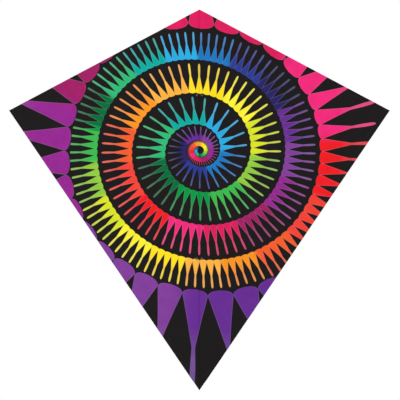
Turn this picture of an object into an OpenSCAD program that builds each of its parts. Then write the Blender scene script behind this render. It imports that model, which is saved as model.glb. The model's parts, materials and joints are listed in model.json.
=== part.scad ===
// Single-line diamond kite: a printed polyester sail on a fibreglass spine and two fibreglass
// spreader halves that meet in a soft vinyl connector. X runs across the wings, to the right
// as seen from in front, Y runs from the front of the sail to the back and Z runs up to the
// nose. The origin is where the spine and the spreaders cross, on the front face of the sail.

/* [Sail] */
// Width across the wing tips with the wings at rest
span = 762; // [700:1:800]
// Height of the sail from the nose to the tail
sail_h = 762; // [700:1:800]
// Distance from the nose down to the spreader line
nose_drop = 202; // [180:1:220]
// Thickness of the solid that stands for the cloth
cloth_t = 0.4; // [0.3:0.05:0.5]
// Width of the folded hem
hem_w = 10; // [8:0.5:12]
// Thickness of the folded hem
hem_t = 0.35; // [0.2:0.05:0.4]

/* [Rods] */
// Diameter of the spine
spine_d = 4; // [3.5:0.1:4.2]
// Diameter of the spreaders
spreader_d = 3.5; // [3:0.1:3.8]
// Distance of the rods' axes behind the front face of the sail
rod_y = 4.8; // [4.7:0.1:5.2]
// Length of the tube that joins the two halves of the spine
ferrule_l = 60; // [40:1:80]
// Height of the middle of that tube
ferrule_z = -180; // [-260:1:-120]

/* [Wing joints] */
// Distance of each fold line from the spine
hinge_x = 10; // [9.5:0.1:12]
// Sweep of each wing behind the flat plane, at rest
dihedral = 6; // [0:0.5:12]
// Gap in the cloth's solid along each fold line
fold_gap = 0.3; // [0.2:0.05:0.5]

/* [Centre connector] */
// Outer radius of the sleeve on the spine
hub_r = 4.2; // [3.8:0.1:4.3]
// Height of the sleeve on the spine
hub_h = 18; // [14:1:24]
// Outer radius of each spreader socket
arm_r = 3.2; // [3:0.1:3.3]
// Reach of each spreader socket from its fold line
arm_l = 30; // [24:1:40]
// Radius of the soft neck between the sleeve and a socket
neck_r = 1.8; // [1.5:0.1:2.2]

/* [Bridle points] */
// Height of the upper pair of eyelets
upper_bridle_z = 31; // [20:1:60]
// Height of the lower pair of eyelets
lower_bridle_z = -296; // [-320:1:-250]
// Distance of each eyelet from the spine's axis
eyelet_x = 5; // [5:0.1:6]
// Radius of the hole in an eyelet
eyelet_r = 1.25; // [1:0.05:1.5]

/* [Corners] */
// Width of the webbing of the nose pocket
nose_pocket_w = 19; // [14:1:19]
// Length of the nose pocket
nose_pocket_l = 28; // [20:1:36]
// Width of the webbing of each tip pocket
tip_pocket_w = 12; // [10:0.5:13]
// Length of each tip pocket
tip_pocket_l = 26; // [20:1:36]
// Width of the webbing of the tail channel
tail_channel_w = 15; // [12:0.5:15]
// Length of the tail channel
tail_channel_l = 21; // [16:1:21]
// Width of the hook and loop strap
strap_w = 10; // [8:0.5:10]
// Radius of the tail ring at the middle of its wire
ring_r = 5.5; // [5:0.1:5.7]
// Radius of the tail ring's wire
ring_wire_r = 0.6; // [0.5:0.05:0.7]

/* [Hidden] */
$fn = 48;
LEFT = -1;
RIGHT = 1;
// A hair more than touching, for cutters that run past a face
over = 1;
// Play between a rod and the part pushed onto it
play = 0.02;
// Gap between a rod's end and what it would touch
end_gap = 0.1;
spine_r = spine_d / 2;
spreader_r = spreader_d / 2;
nose_z = nose_drop;
tail_z = nose_drop - sail_h;
// Wing tip in the flat cloth, so that the tips stand span apart when the wings are swept
tip_x = hinge_x + (span / 2 - hinge_x - rod_y * sin(dihedral)) / cos(dihedral);
strip_x = hinge_x - fold_gap / 2;
panel_x = hinge_x + fold_gap / 2;
// Depth of the hems measured straight down or up from each edge
upper_hem_v = hem_w * norm([1, nose_z / tip_x]);
lower_hem_v = hem_w * norm([1, tail_z / tip_x]);
// Back face of the cloth and of its hems
cloth_back = cloth_t;
hem_back = cloth_t + hem_t;
// Wall of the tube that joins the halves of the spine
ferrule_wall = 0.9;
// Webbing, end caps and the pockets that hold them
web_t = 0.5;
cap_wall = 1;
tip_cap_wall = 0.85;
cap_taper = 0.6;
cap_gap = 0.5;
cap_l = 14;
cap_end = 2;
spine_cap_r = spine_r + cap_wall;
tip_cap_r = spreader_r + tip_cap_wall;
pocket_play = 0.15;
pocket_wall = 0.65;
pocket_end = 2;
nose_pocket_top = nose_z - 9;
nose_cap_top = nose_pocket_top - pocket_end - cap_gap;
tip_pocket_x = tip_x - 14;
tip_cap_x = tip_pocket_x - pocket_end - cap_gap;
// Tail strap: its fold line, and the cap that stands just above it
strap_t = 0.8;
strap_fold_y = 9.6;
strap_fold_z = tail_z + 9.1;
strap_flap_l = 24;
strap_gap = 0.4;
strap_tab_l = 5.8;
tail_cap_bottom = strap_fold_z + strap_t / 2 + 1;
tail_channel_z = strap_fold_z + 5.9;
// The loop half of the strap's fastener, and its distance from either end of the channel
loop_patch_w = 7.4;
loop_patch_t = 0.25;
loop_patch_low = 4;
loop_patch_high = 3;
// Loops, patches and rings on the spine
loop_l = 12;
loop_w = 16;
upper_loop_z = 80;
lower_loop_z = -372;
patch_l = 20;
patch_t = 0.3;
patch_margin = 0.4;
flange_t = 0.3;
flange_r = 2.8;
back_flange_r = 2.6;
barrel_r = 1.7;
barrel_play = 0.05;
stop_h = 3;
stop_r = 3.4;
stop_gap = 0.4;
neck_gap = 0.3;
// Distance from the fold line to the floor of a spreader socket
socket_floor = 5;
// Tail tab: the bar of webbing behind the spine that the ring hangs from
tab_x = 2;
tab_y = 9.2;
tab_z = tail_z + 49;
tab_r = 1.7;
tab_hole_r = 1.15;
tab_wall = 0.7;
tab_wrap_h = 4;
ring_sag = ring_r - sqrt(ring_r * ring_r - tab_x * tab_x);

function upper_edge(x) = nose_z * (1 - x / tip_x);
function lower_edge(x) = tail_z * (1 - x / tip_x);

// A flat outline in X and Z, t thick, with its front face at y
module sheet(y, t) {
    translate([0, y + t, 0])
        rotate([90, 0, 0])
            linear_extrude(t)
                children();
}

// What is built for the right wing lying flat, put on either wing and swept to rest
module on_wing(side) {
    mirror([side == LEFT ? 1 : 0, 0, 0])
        translate([hinge_x, rod_y, 0])
            rotate([0, 0, dihedral])
                translate([-hinge_x, -rod_y, 0])
                    children();
}

// A solid rod on the spine's axis, from z0 up to z1
module spine_bar(z0, z1, r) {
    translate([0, rod_y, z0])
        cylinder(h = z1 - z0, r = r);
}

// A round bar along X on the rods' axis
module cross_bar(x0, x1, r) {
    translate([x0, rod_y, 0])
        rotate([0, 90, 0])
            cylinder(h = x1 - x0, r = r);
}

// A tube on the spine's axis
module spine_tube(z0, z1, r, bore) {
    difference() {
        spine_bar(z0, z1, r);
        spine_bar(z0 - over, z1 + over, bore);
    }
}

// Webbing sewn flat to the cloth and raised into a tunnel over a rod that runs along Z.
// closed is the thickness of its shut upper end, and flat_back squares the tunnel's back.
module pocket(w, l, bore, closed, flat_back) {
    r = bore + pocket_wall;
    difference() {
        union() {
            translate([-w / 2, hem_back, 0])
                cube([w, web_t, l]);
            translate([-r, hem_back, 0])
                cube([2 * r, rod_y - hem_back + (flat_back ? r : 0), l]);
            translate([0, rod_y, 0])
                cylinder(h = l, r = r);
        }
        translate([0, rod_y, -over])
            cylinder(h = l + over + (closed > 0 ? -closed : over), r = bore);
    }
}

// A soft cap pushed onto a rod's end: open at the bottom, shut at the top
module end_cap(r, bore) {
    difference() {
        union() {
            cylinder(h = cap_l - r / 2, r = r);
            translate([0, 0, cap_l - r / 2])
                cylinder(h = r / 2, r1 = r, r2 = r * cap_taper);
        }
        translate([0, 0, -over])
            cylinder(h = cap_l - cap_end + over, r = bore);
    }
}

// The holes that a pair of eyelets needs in the cloth and in its patch
module eyelet_holes(z) {
    for (side = [LEFT, RIGHT])
        translate([side * eyelet_x, 0, z])
            rotate([-90, 0, 0])
                cylinder(h = 2 * hub_h, r = barrel_r + barrel_play, center = true);
}

// A pair of rolled eyelets, each with a flange on either face of the cloth
module eyelets(z) {
    color("#1d1b1c")
    for (side = [LEFT, RIGHT])
        translate([side * eyelet_x, -flange_t, z])
            rotate([-90, 0, 0])
                difference() {
                    union() {
                        cylinder(h = flange_t, r = flange_r);
                        cylinder(h = cloth_t + patch_t + 2 * flange_t, r = barrel_r);
                        translate([0, 0, flange_t + cloth_t + patch_t])
                            cylinder(h = flange_t, r = back_flange_r);
                    }
                    translate([0, 0, -over])
                        cylinder(h = cloth_t + patch_t + 2 * flange_t + 2 * over, r = eyelet_r);
                }
}

// A patch that stiffens the cloth round a pair of eyelets
module bridle_patch(z) {
    color("#2a2728")
    difference() {
        sheet(cloth_back, patch_t)
            translate([patch_margin - strip_x, z - patch_l / 2])
                square([2 * (strip_x - patch_margin), patch_l]);
        eyelet_holes(z);
    }
}

module spine_upper_rod() {
    color("#20262b")
    spine_bar(ferrule_z + end_gap, nose_cap_top - cap_end - end_gap, spine_r);
}

module spine_lower_rod() {
    color("#20262b")
    spine_bar(tail_cap_bottom + cap_end + end_gap, ferrule_z - end_gap, spine_r);
}

module spine_ferrule() {
    color("silver")
    spine_tube(ferrule_z - ferrule_l / 2, ferrule_z + ferrule_l / 2, spine_r + ferrule_wall, spine_r + play);
}

module nose_end_cap() {
    color("#151515")
    translate([0, rod_y, nose_cap_top - cap_l])
        end_cap(spine_cap_r, spine_r + play);
}

module tail_end_cap() {
    color("#151515")
    translate([0, rod_y, tail_cap_bottom + cap_l])
        rotate([180, 0, 0])
            end_cap(spine_cap_r, spine_r + play);
}

// The sleeve that slides on the spine, with the stumps of its two soft necks
module centre_connector() {
    neck_end = hinge_x - arm_r - neck_gap;
    color("#151515")
    difference() {
        union() {
            spine_bar(-hub_h / 2, hub_h / 2, hub_r);
            cross_bar(-neck_end, neck_end, neck_r);
        }
        spine_bar(-hub_h / 2 - over, hub_h / 2 + over, spine_r + play);
    }
}

module stop_ring_upper() {
    z = hub_h / 2 + stop_gap;
    color("#151515")
    spine_tube(z, z + stop_h, stop_r, spine_r + play);
}

module stop_ring_lower() {
    z = -hub_h / 2 - stop_gap;
    color("#151515")
    spine_tube(z - stop_h, z, stop_r, spine_r + play);
}

// The strip of cloth that stays with the spine, with its folded corners at nose and tail
module sail_centre() {
    x = strip_x;
    color("#231f20")
    difference() {
        union() {
            sheet(0, cloth_t)
                polygon([
                    [0, nose_z], [x, upper_edge(x)], [x, lower_edge(x)],
                    [0, tail_z], [-x, lower_edge(x)], [-x, upper_edge(x)]
                ]);
            sheet(0, hem_back)
                polygon([
                    [0, nose_z], [x, upper_edge(x)], [x, upper_edge(x) - upper_hem_v],
                    [0, nose_z - upper_hem_v], [-x, upper_edge(x) - upper_hem_v], [-x, upper_edge(x)]
                ]);
            sheet(0, hem_back)
                polygon([
                    [0, tail_z], [x, lower_edge(x)], [x, lower_edge(x) + lower_hem_v],
                    [0, tail_z + lower_hem_v], [-x, lower_edge(x) + lower_hem_v], [-x, lower_edge(x)]
                ]);
        }
        eyelet_holes(upper_bridle_z);
        eyelet_holes(lower_bridle_z);
    }
}

module nose_pocket() {
    color("#1b1a1b")
    translate([0, 0, nose_pocket_top - nose_pocket_l])
        pocket(nose_pocket_w, nose_pocket_l, spine_cap_r + pocket_play, pocket_end, false);
}

module tail_channel() {
    color("#1b1a1b")
    translate([0, 0, tail_channel_z])
        pocket(tail_channel_w, tail_channel_l, spine_cap_r + pocket_play, 0, true);
}

module spine_loop_upper() {
    color("#1b1a1b")
    translate([0, 0, upper_loop_z])
        pocket(loop_w, loop_l, spine_r + pocket_play, 0, false);
}

module spine_loop_lower() {
    color("#1b1a1b")
    translate([0, 0, lower_loop_z])
        pocket(loop_w, loop_l, spine_r + pocket_play, 0, false);
}

module bridle_patch_upper() {
    bridle_patch(upper_bridle_z);
}

module bridle_patch_lower() {
    bridle_patch(lower_bridle_z);
}

module bridle_eyelets_upper() {
    eyelets(upper_bridle_z);
}

module bridle_eyelets_lower() {
    eyelets(lower_bridle_z);
}

// The loop half of the strap's fastener, on the back of the tail channel
module strap_loop_patch() {
    back = rod_y + spine_cap_r + pocket_play + pocket_wall;
    color("#2a2728")
    sheet(back, loop_patch_t)
        translate([-loop_patch_w / 2, tail_channel_z + loop_patch_low])
            square([loop_patch_w, tail_channel_l - loop_patch_low - loop_patch_high]);
}

// The end of the strap that is sewn to the cloth and turns back under the spine's end
module strap_base() {
    color("#1b1a1b")
    translate([-strap_w / 2, 0, strap_fold_z - strap_t / 2]) {
        translate([0, hem_back, 0])
            cube([strap_w, strap_fold_y - strap_t / 2 - strap_gap - hem_back, strap_t]);
        translate([0, hem_back, 0])
            cube([strap_w, web_t, strap_tab_l]);
    }
}

// The hook half of the strap, folded up over the spine's end and pressed onto the loop patch
module strap_flap() {
    color("#1b1a1b")
    translate([-strap_w / 2, strap_fold_y, strap_fold_z]) {
        rotate([0, 90, 0])
            cylinder(h = strap_w, r = strap_t / 2);
        translate([0, -strap_t / 2, 0])
            cube([strap_w, strap_t, strap_flap_l]);
    }
}

// Webbing wrapped round the spine above the tail channel, with an eye for the ring behind it
module tail_tab() {
    eye_l = 2 * tab_x;
    color("#1b1a1b")
    difference() {
        union() {
            spine_bar(tab_z - tab_wrap_h, tab_z + tab_wrap_h, spine_r + tab_wall);
            translate([-tab_x, rod_y, tab_z - tab_r])
                cube([eye_l, tab_y - rod_y, 2 * tab_r]);
            translate([-tab_x, tab_y, tab_z])
                rotate([0, 90, 0])
                    cylinder(h = eye_l, r = tab_r);
        }
        spine_bar(tab_z - tab_wrap_h - over, tab_z + tab_wrap_h + over, spine_r + play);
        translate([-tab_x - over, tab_y, tab_z])
            rotate([0, 90, 0])
                cylinder(h = eye_l + 2 * over, r = tab_hole_r);
    }
}

// The wire ring that a tail is tied to, hanging from its tab
module tail_ring() {
    color("silver")
    translate([0, tab_y, tab_z - ring_r + ring_sag / 2])
        rotate([90, 0, 0])
            rotate_extrude($fn = 96)
                translate([ring_r, 0])
                    circle(r = ring_wire_r, $fn = 24);
}

// One wing's cloth, from its fold line out to the tip
module sail_panel() {
    x = panel_x;
    color("#231f20")
    sheet(0, cloth_t)
        polygon([[x, upper_edge(x)], [tip_x, 0], [x, lower_edge(x)]]);
}

module upper_hem() {
    x = panel_x;
    color("#ee2a7b")
    sheet(cloth_back, hem_t)
        polygon([
            [x, upper_edge(x)], [tip_x, 0],
            [tip_x * (1 - upper_hem_v / nose_z), 0], [x, upper_edge(x) - upper_hem_v]
        ]);
}

module lower_hem() {
    x = panel_x;
    color("#662d91")
    sheet(cloth_back, hem_t)
        polygon([
            [x, lower_edge(x)], [tip_x, 0],
            [tip_x * (1 + lower_hem_v / tail_z), 0], [x, lower_edge(x) + lower_hem_v]
        ]);
}

module tip_pocket() {
    color("#1b1a1b")
    translate([tip_pocket_x - tip_pocket_l, 0, 0])
        rotate([0, 90, 0])
            pocket(tip_pocket_w, tip_pocket_l, tip_cap_r + pocket_play, pocket_end, false);
}

module spreader_rod() {
    color("#20262b")
    cross_bar(hinge_x + socket_floor, tip_cap_x - cap_end - end_gap, spreader_r);
}

module tip_cap() {
    color("#151515")
    translate([tip_cap_x - cap_l, rod_y, 0])
        rotate([0, 90, 0])
            end_cap(tip_cap_r, spreader_r + play);
}

// A spreader socket with a ball end on the fold line, so that it can turn beside the sleeve
module connector_arm() {
    color("#151515")
    difference() {
        union() {
            translate([hinge_x, rod_y, 0])
                sphere(r = arm_r);
            cross_bar(hinge_x, hinge_x + arm_l, arm_r);
        }
        cross_bar(hinge_x + socket_floor - end_gap, hinge_x + arm_l + over, spreader_r + play);
    }
}

module left_sail() {
    on_wing(LEFT) sail_panel();
}

module left_upper_hem() {
    on_wing(LEFT) upper_hem();
}

module left_lower_hem() {
    on_wing(LEFT) lower_hem();
}

module left_tip_pocket() {
    on_wing(LEFT) tip_pocket();
}

module left_spreader_rod() {
    on_wing(LEFT) spreader_rod();
}

module left_tip_cap() {
    on_wing(LEFT) tip_cap();
}

module left_connector_arm() {
    on_wing(LEFT) connector_arm();
}

module right_sail() {
    on_wing(RIGHT) sail_panel();
}

module right_upper_hem() {
    on_wing(RIGHT) upper_hem();
}

module right_lower_hem() {
    on_wing(RIGHT) lower_hem();
}

module right_tip_pocket() {
    on_wing(RIGHT) tip_pocket();
}

module right_spreader_rod() {
    on_wing(RIGHT) spreader_rod();
}

module right_tip_cap() {
    on_wing(RIGHT) tip_cap();
}

module right_connector_arm() {
    on_wing(RIGHT) connector_arm();
}

spine_upper_rod();
spine_lower_rod();
spine_ferrule();
nose_end_cap();
tail_end_cap();
centre_connector();
stop_ring_upper();
stop_ring_lower();
sail_centre();
nose_pocket();
tail_channel();
spine_loop_upper();
spine_loop_lower();
bridle_patch_upper();
bridle_patch_lower();
bridle_eyelets_upper();
bridle_eyelets_lower();
strap_loop_patch();
strap_base();
strap_flap();
tail_tab();
tail_ring();
left_sail();
left_upper_hem();
left_lower_hem();
left_tip_pocket();
left_spreader_rod();
left_tip_cap();
left_connector_arm();
right_sail();
right_upper_hem();
right_lower_hem();
right_tip_pocket();
right_spreader_rod();
right_tip_cap();
right_connector_arm();
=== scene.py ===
import json
import math

import bmesh
import bpy
from mathutils import Matrix, Vector, noise


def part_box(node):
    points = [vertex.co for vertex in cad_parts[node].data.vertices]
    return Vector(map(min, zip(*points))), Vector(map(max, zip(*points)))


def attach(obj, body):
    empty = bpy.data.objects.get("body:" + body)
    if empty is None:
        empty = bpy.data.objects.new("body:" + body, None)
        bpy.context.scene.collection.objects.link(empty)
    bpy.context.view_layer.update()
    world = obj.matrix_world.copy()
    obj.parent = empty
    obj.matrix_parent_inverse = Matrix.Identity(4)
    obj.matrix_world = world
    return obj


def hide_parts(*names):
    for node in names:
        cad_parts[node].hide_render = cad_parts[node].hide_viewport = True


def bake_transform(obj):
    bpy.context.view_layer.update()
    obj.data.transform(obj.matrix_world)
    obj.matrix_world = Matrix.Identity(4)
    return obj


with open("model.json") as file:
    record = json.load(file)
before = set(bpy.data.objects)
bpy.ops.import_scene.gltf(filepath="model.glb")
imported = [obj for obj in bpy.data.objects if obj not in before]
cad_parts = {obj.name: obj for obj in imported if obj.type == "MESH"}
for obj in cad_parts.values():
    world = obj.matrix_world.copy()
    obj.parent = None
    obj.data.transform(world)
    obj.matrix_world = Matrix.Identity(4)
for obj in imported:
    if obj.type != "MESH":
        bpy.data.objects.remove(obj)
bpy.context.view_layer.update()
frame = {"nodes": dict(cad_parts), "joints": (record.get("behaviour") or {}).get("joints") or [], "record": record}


# The printed polyester cloth.
# One light plain weave, dyed through in a near-black ground with a rainbow spiral of pointed
# teeth. The pattern is worked out on the cloth's own flat measure, so it bends with the sail.

MM = 0.001
TURN = 2 * math.pi
GROUND = "1B1819"
DYES = (
    "ED1C24", "EF4136", "F15A29", "F7941E", "FBB040", "FFDE17", "F9ED32", "D7DF23",
    "8DC63F", "39B54A", "009444", "006838", "2BB673", "00A79D", "27AAE1", "1C75BC",
    "2B3990", "262262", "662D91", "7F3F98", "92278F", "9E1F63", "DA1C5C", "EE2A7B",
)
TEETH_PER_DYE = 5
FIRST_RED_TOOTH = 8.0
# The first time round, the mid green is left out of the run of dyes at this tooth
GREEN_SKIPPED_AT = 57.0
# Centre of the spiral on the cloth, and the slight stretch of the print along one slant
SPIRAL_X = 1.0
SPIRAL_Z = -80.4
STRETCH = 0.0238
STRETCH_SLANT = math.radians(66.3)
# Distance in mm of the teeth's roots from the centre, as a cubic in turns along the arm, and
# the turns back from a distance. Inside the last root the arm shrinks at a steady rate.
ROOT_OF_TURN = (1.6475, -7.302, -58.172, 248.67)
TURN_OF_ROOT = (-1.0688e-7, 4.8405e-5, -0.021653, 4.02846)
LAST_CUBIC_TURN = 3.25
LAST_CUBIC_ROOT = 39.06
SHRINK = 0.75
# Three gentle waves of the outermost arm: (middle turn, width in turns, rise in mm). They move
# it by less than WAVE_ROOM turns.
WAVES = ((-0.56, 0.12, 10.4), (-0.21, 0.09, -8.0), (0.4, 0.2, 4.4))
WAVE_ROOM = 0.25
ARM_START = -0.592
ARM_END = 5.95
# Teeth per turn: a slow fall, a quick rise where the big outer teeth give way to the rings,
# the even fall of the rings, and the fine teeth of the eye. Each step is (turn, change).
TOOTH_AT_ZERO = -1.14
TEETH_PER_TURN = 31.85
TEETH_FALL = -9.8
TEETH_STEPS = (
    (0.115, 229.3), (0.444, -251.0), (0.85, 68.1), (1.0, -138.2), (1.12, 70.3), (1.35, -3.7),
    (1.9, 15.3), (2.4, -14.7), (2.8, 2.9), (3.15, 46.2), (3.42, -16.5), (4.05, 35.0),
    (4.58, 188.2), (4.72, -229.0),
)
# A tooth's outline: half its width in pitches, over its height from root (0) to tip (1)
TOOTH_OUTLINE = (
    (-0.02, -0.2), (0.0, 0.0), (0.002, 0.13), (0.006, 0.22), (0.012, 0.3), (0.02, 0.37),
    (0.03, 0.43), (0.045, 0.48), (0.06, 0.5), (0.3, 0.28), (0.58, 0.055), (0.8, 0.095),
    (0.93, 0.085), (0.975, 0.055), (1.0, 0.0), (1.02, -0.2),
)
OUTLINE_LOW = -0.2
# A tooth's height, as a share of the gap to the arm outside and at least so many pitches
TOOTH_BY_GAP = 0.88
TOOTH_BY_PITCH = 4.2
# Near the eye the teeth run together into a ribbon. How much wider they get, and how far up
# they stay solid, each from a turn, to a turn, and the value at both.
WIDER = (3.9, 4.7, 0.0, 3.0)
SOLID = (4.55, 4.75, 0.55, 0.8)
# Each tooth has a line round it, in mm and at most so much of a pitch. It is a little paler on
# big teeth, by pitch in mm, and on the stems, by height.
LINE = 0.9
LINE_BY_PITCH = 0.13
PALE = "8F8992"
PALE_BY_PITCH = (6.0, 14.0, 0.0, 0.25)
PALE_STEM = (0.4, 0.7, 0.0, 0.24)
SOFT_EDGE = (-0.2, 0.3)


def mm(x, y, z):
    return Vector((x * MM, y * MM, z * MM))


def linear(code):
    """A colour from its sRGB hex code."""
    values = [int(code[i:i + 2], 16) / 255 for i in (0, 2, 4)]
    return (*[v / 12.92 if v <= 0.04045 else ((v + 0.055) / 1.055) ** 2.4 for v in values], 1)


def add(tree, kind, *inputs, put=None, out=0, **settings):
    """A node with its settings, its inputs in order or by number as links or values, and an output."""
    node = tree.nodes.new(kind)
    for name, value in settings.items():
        setattr(node, name, value)
    for number, value in [*enumerate(inputs), *(put or {}).items()]:
        if isinstance(value, bpy.types.NodeSocket):
            tree.links.new(value, node.inputs[number])
        elif value is not None:
            node.inputs[number].default_value = value
    return node.outputs[out]


def calc(tree, operation, *values):
    return add(tree, "ShaderNodeMath", *values, operation=operation)


def remap(tree, value, *ends, **settings):
    """A value carried from one range to another: low and high, then new low and new high."""
    return add(tree, "ShaderNodeMapRange", value, *ends, **settings)


def mix(tree, factor, *colours):
    """Two colours mixed, each a node or an sRGB hex code."""
    one, two = [linear(colour) if isinstance(colour, str) else colour for colour in colours]
    return add(tree, "ShaderNodeMix", factor, put={6: one, 7: two}, out=2, data_type="RGBA")


def speckle(tree, place, scale, detail, roughness=0.5):
    return add(tree, "ShaderNodeTexNoise", place, put={2: scale, 3: detail, 4: roughness})


def wave(tree, place, pitch, bend, *details, way):
    """Bands at this pitch in metres, bent by noise: the amount, its detail and its scale."""
    return add(
        tree, "ShaderNodeTexWave", place, TURN / (20 * pitch), bend, *details, out=1,
        bands_direction=way,
    )


def bumps(tree, height, strength, distance):
    return add(tree, "ShaderNodeBump", strength, distance, put={3: height})


def object_place(tree):
    return add(tree, "ShaderNodeTexCoord", out=3)


def link(tree, shader, **sources):
    """Links nodes to the shader's sockets, by socket name."""
    for label, source in sources.items():
        tree.links.new(source, shader.inputs[label.replace("_", " ")])


def finish_of(name, **settings):
    """A material whose Principled shader has these values, by socket name."""
    material = bpy.data.materials.new(name)
    material.use_nodes = True
    tree = material.node_tree
    shader = tree.nodes["Principled BSDF"]
    for label, value in settings.items():
        shader.inputs[label.replace("_", " ")].default_value = value
    return material, tree, shader


def polynomial(tree, x, terms):
    """Nodes for a polynomial in x, highest power first."""
    total = terms[0]
    for term in terms[1:]:
        total = calc(tree, "MULTIPLY_ADD", total, x, term)
    return total


def root_at(tree, turn):
    """Nodes for the distance of the teeth's roots from the centre, at a turn along the arm."""
    on_cubic = calc(tree, "MINIMUM", turn, LAST_CUBIC_TURN)
    past = calc(tree, "SUBTRACT", turn, LAST_CUBIC_TURN)
    past = calc(tree, "MAXIMUM", past, 0.0)
    shrink = calc(tree, "MULTIPLY", past, -SHRINK)
    shrink = calc(tree, "EXPONENT", shrink)
    cubic = polynomial(tree, on_cubic, ROOT_OF_TURN)
    root = calc(tree, "MULTIPLY", cubic, shrink)
    for middle, width, rise in WAVES:
        off = calc(tree, "SUBTRACT", turn, middle)
        off = calc(tree, "MULTIPLY", off, off)
        off = calc(tree, "MULTIPLY", off, -1 / width ** 2)
        off = calc(tree, "EXPONENT", off)
        root = calc(tree, "MULTIPLY_ADD", off, rise, root)
    return root


def spiral_print(tree):
    """The print's colour, from the cloth's flat measure in metres in the UV map cloth."""
    flat = add(tree, "ShaderNodeUVMap", uv_map="cloth")
    centre = (SPIRAL_X * MM, SPIRAL_Z * MM, 0)
    flat = add(tree, "ShaderNodeVectorMath", flat, centre, operation="SUBTRACT")
    flat = add(tree, "ShaderNodeMapping", flat, (0, 0, 0), (0, 0, -STRETCH_SLANT))
    scale = ((1 + STRETCH) / MM, (1 - STRETCH) / MM, 0)
    flat = add(tree, "ShaderNodeVectorMath", flat, scale, operation="MULTIPLY")
    radius = add(tree, "ShaderNodeVectorMath", flat, operation="LENGTH", out=1)
    split = tree.nodes.new("ShaderNodeSeparateXYZ")
    tree.links.new(flat, split.inputs[0])
    angle = calc(tree, "ARCTAN2", split.outputs[1], split.outputs[0])
    # Clockwise from straight up, in turns
    up = 0.25 - STRETCH_SLANT / TURN
    clock = calc(tree, "MULTIPLY_ADD", angle, -1 / TURN, up)

    # The turn of the arm whose teeth reach this point
    reach = calc(tree, "ADD", radius, LINE)
    outer = calc(tree, "MAXIMUM", reach, LAST_CUBIC_ROOT)
    inner = calc(tree, "MINIMUM", reach, LAST_CUBIC_ROOT)
    ratio = calc(tree, "DIVIDE", LAST_CUBIC_ROOT, inner)
    coils = calc(tree, "LOGARITHM", ratio, math.e)
    least = polynomial(tree, outer, TURN_OF_ROOT)
    least = calc(tree, "MULTIPLY_ADD", coils, 1 / SHRINK, least)
    least = calc(tree, "SUBTRACT", least, WAVE_ROOM)
    least = calc(tree, "MAXIMUM", least, ARM_START)
    turns = calc(tree, "SUBTRACT", least, clock)
    turns = calc(tree, "CEIL", turns)
    turn = calc(tree, "ADD", turns, clock)
    # That arm may still lie farther out, then it's the next
    below = calc(tree, "LESS_THAN", reach, root_at(tree, turn))
    turn = calc(tree, "ADD", turn, below)

    # Teeth counted along the arm, and how many there are to a turn here
    count = polynomial(tree, turn, (TEETH_FALL / 2, TEETH_PER_TURN, TOOTH_AT_ZERO))
    per_turn = polynomial(tree, turn, (TEETH_FALL, TEETH_PER_TURN))
    for start, change in TEETH_STEPS:
        past = calc(tree, "SUBTRACT", turn, start)
        past = calc(tree, "MAXIMUM", past, 0.0)
        square = calc(tree, "MULTIPLY", past, past)
        count = calc(tree, "MULTIPLY_ADD", square, change / 2, count)
        per_turn = calc(tree, "MULTIPLY_ADD", past, change, per_turn)
    tooth = calc(tree, "ROUND", count)

    # Height up the tooth and distance from its middle line
    root = root_at(tree, turn)
    before = calc(tree, "SUBTRACT", turn, 1.0)
    gap = calc(tree, "SUBTRACT", root_at(tree, before), root)
    pitch = calc(tree, "DIVIDE", root, per_turn)
    pitch = calc(tree, "MULTIPLY", pitch, TURN)
    by_gap = calc(tree, "MULTIPLY", gap, TOOTH_BY_GAP)
    by_pitch = calc(tree, "MULTIPLY", pitch, TOOTH_BY_PITCH)
    tall = calc(tree, "MAXIMUM", by_gap, by_pitch)
    height = calc(tree, "SUBTRACT", radius, root)
    height = calc(tree, "DIVIDE", height, tall)
    aside = calc(tree, "SUBTRACT", count, tooth)
    spread = calc(tree, "DIVIDE", radius, root)
    aside = calc(tree, "MULTIPLY", aside, spread)
    aside = calc(tree, "ABSOLUTE", aside)

    # Distance inside the tooth's outline, in mm
    low, high = TOOTH_OUTLINE[0][0], TOOTH_OUTLINE[-1][0]
    along = remap(tree, height, low, high, 0.0, 1.0)
    outline = tree.nodes.new("ShaderNodeFloatCurve")
    curve = outline.mapping.curves[0]
    spots = [((h - low) / (high - low), w - OUTLINE_LOW) for h, w in TOOTH_OUTLINE]
    for spot in spots[1:-1]:
        curve.points.new(*spot)
    curve.points[0].location = spots[0]
    curve.points[-1].location = spots[-1]
    for point in curve.points:
        point.handle_type = "VECTOR"
    outline.mapping.update()
    tree.links.new(along, outline.inputs["Value"])
    width = calc(tree, "ADD", outline.outputs[0], OUTLINE_LOW)
    below_solid = remap(tree, height, 0.0, remap(tree, turn, *SOLID), 1.0, 0.0)
    width = calc(tree, "MULTIPLY_ADD", remap(tree, turn, *WIDER), below_solid, width)
    inside = calc(tree, "SUBTRACT", width, aside)
    inside = calc(tree, "MULTIPLY", inside, pitch)

    # The dyes follow one another round the wheel, some teeth to each
    skipped = remap(tree, count, GREEN_SKIPPED_AT, GREEN_SKIPPED_AT + 1, 0.0, 1.0)
    dye = calc(tree, "SUBTRACT", count, FIRST_RED_TOOTH)
    dye = calc(tree, "MULTIPLY_ADD", dye, 1 / TEETH_PER_DYE, skipped)
    whole = calc(tree, "FLOOR", dye)
    part = calc(tree, "SUBTRACT", dye, whole)
    change = remap(
        tree, part, 1 - 1 / TEETH_PER_DYE, 1.0, 0.0, 1.0, interpolation_type="SMOOTHSTEP"
    )
    dye = calc(tree, "ADD", whole, change)
    dye = calc(tree, "MULTIPLY", dye, 1 / len(DYES))
    dye = calc(tree, "FRACT", dye)
    wheel = tree.nodes.new("ShaderNodeValToRGB")
    stops = wheel.color_ramp.elements
    for i, code in enumerate(DYES):
        stop = stops[i] if i == 0 else stops.new(i / len(DYES))
        stop.color = linear(code)
    stops[-1].color = linear(DYES[0])
    tree.links.new(dye, wheel.inputs[0])

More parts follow.
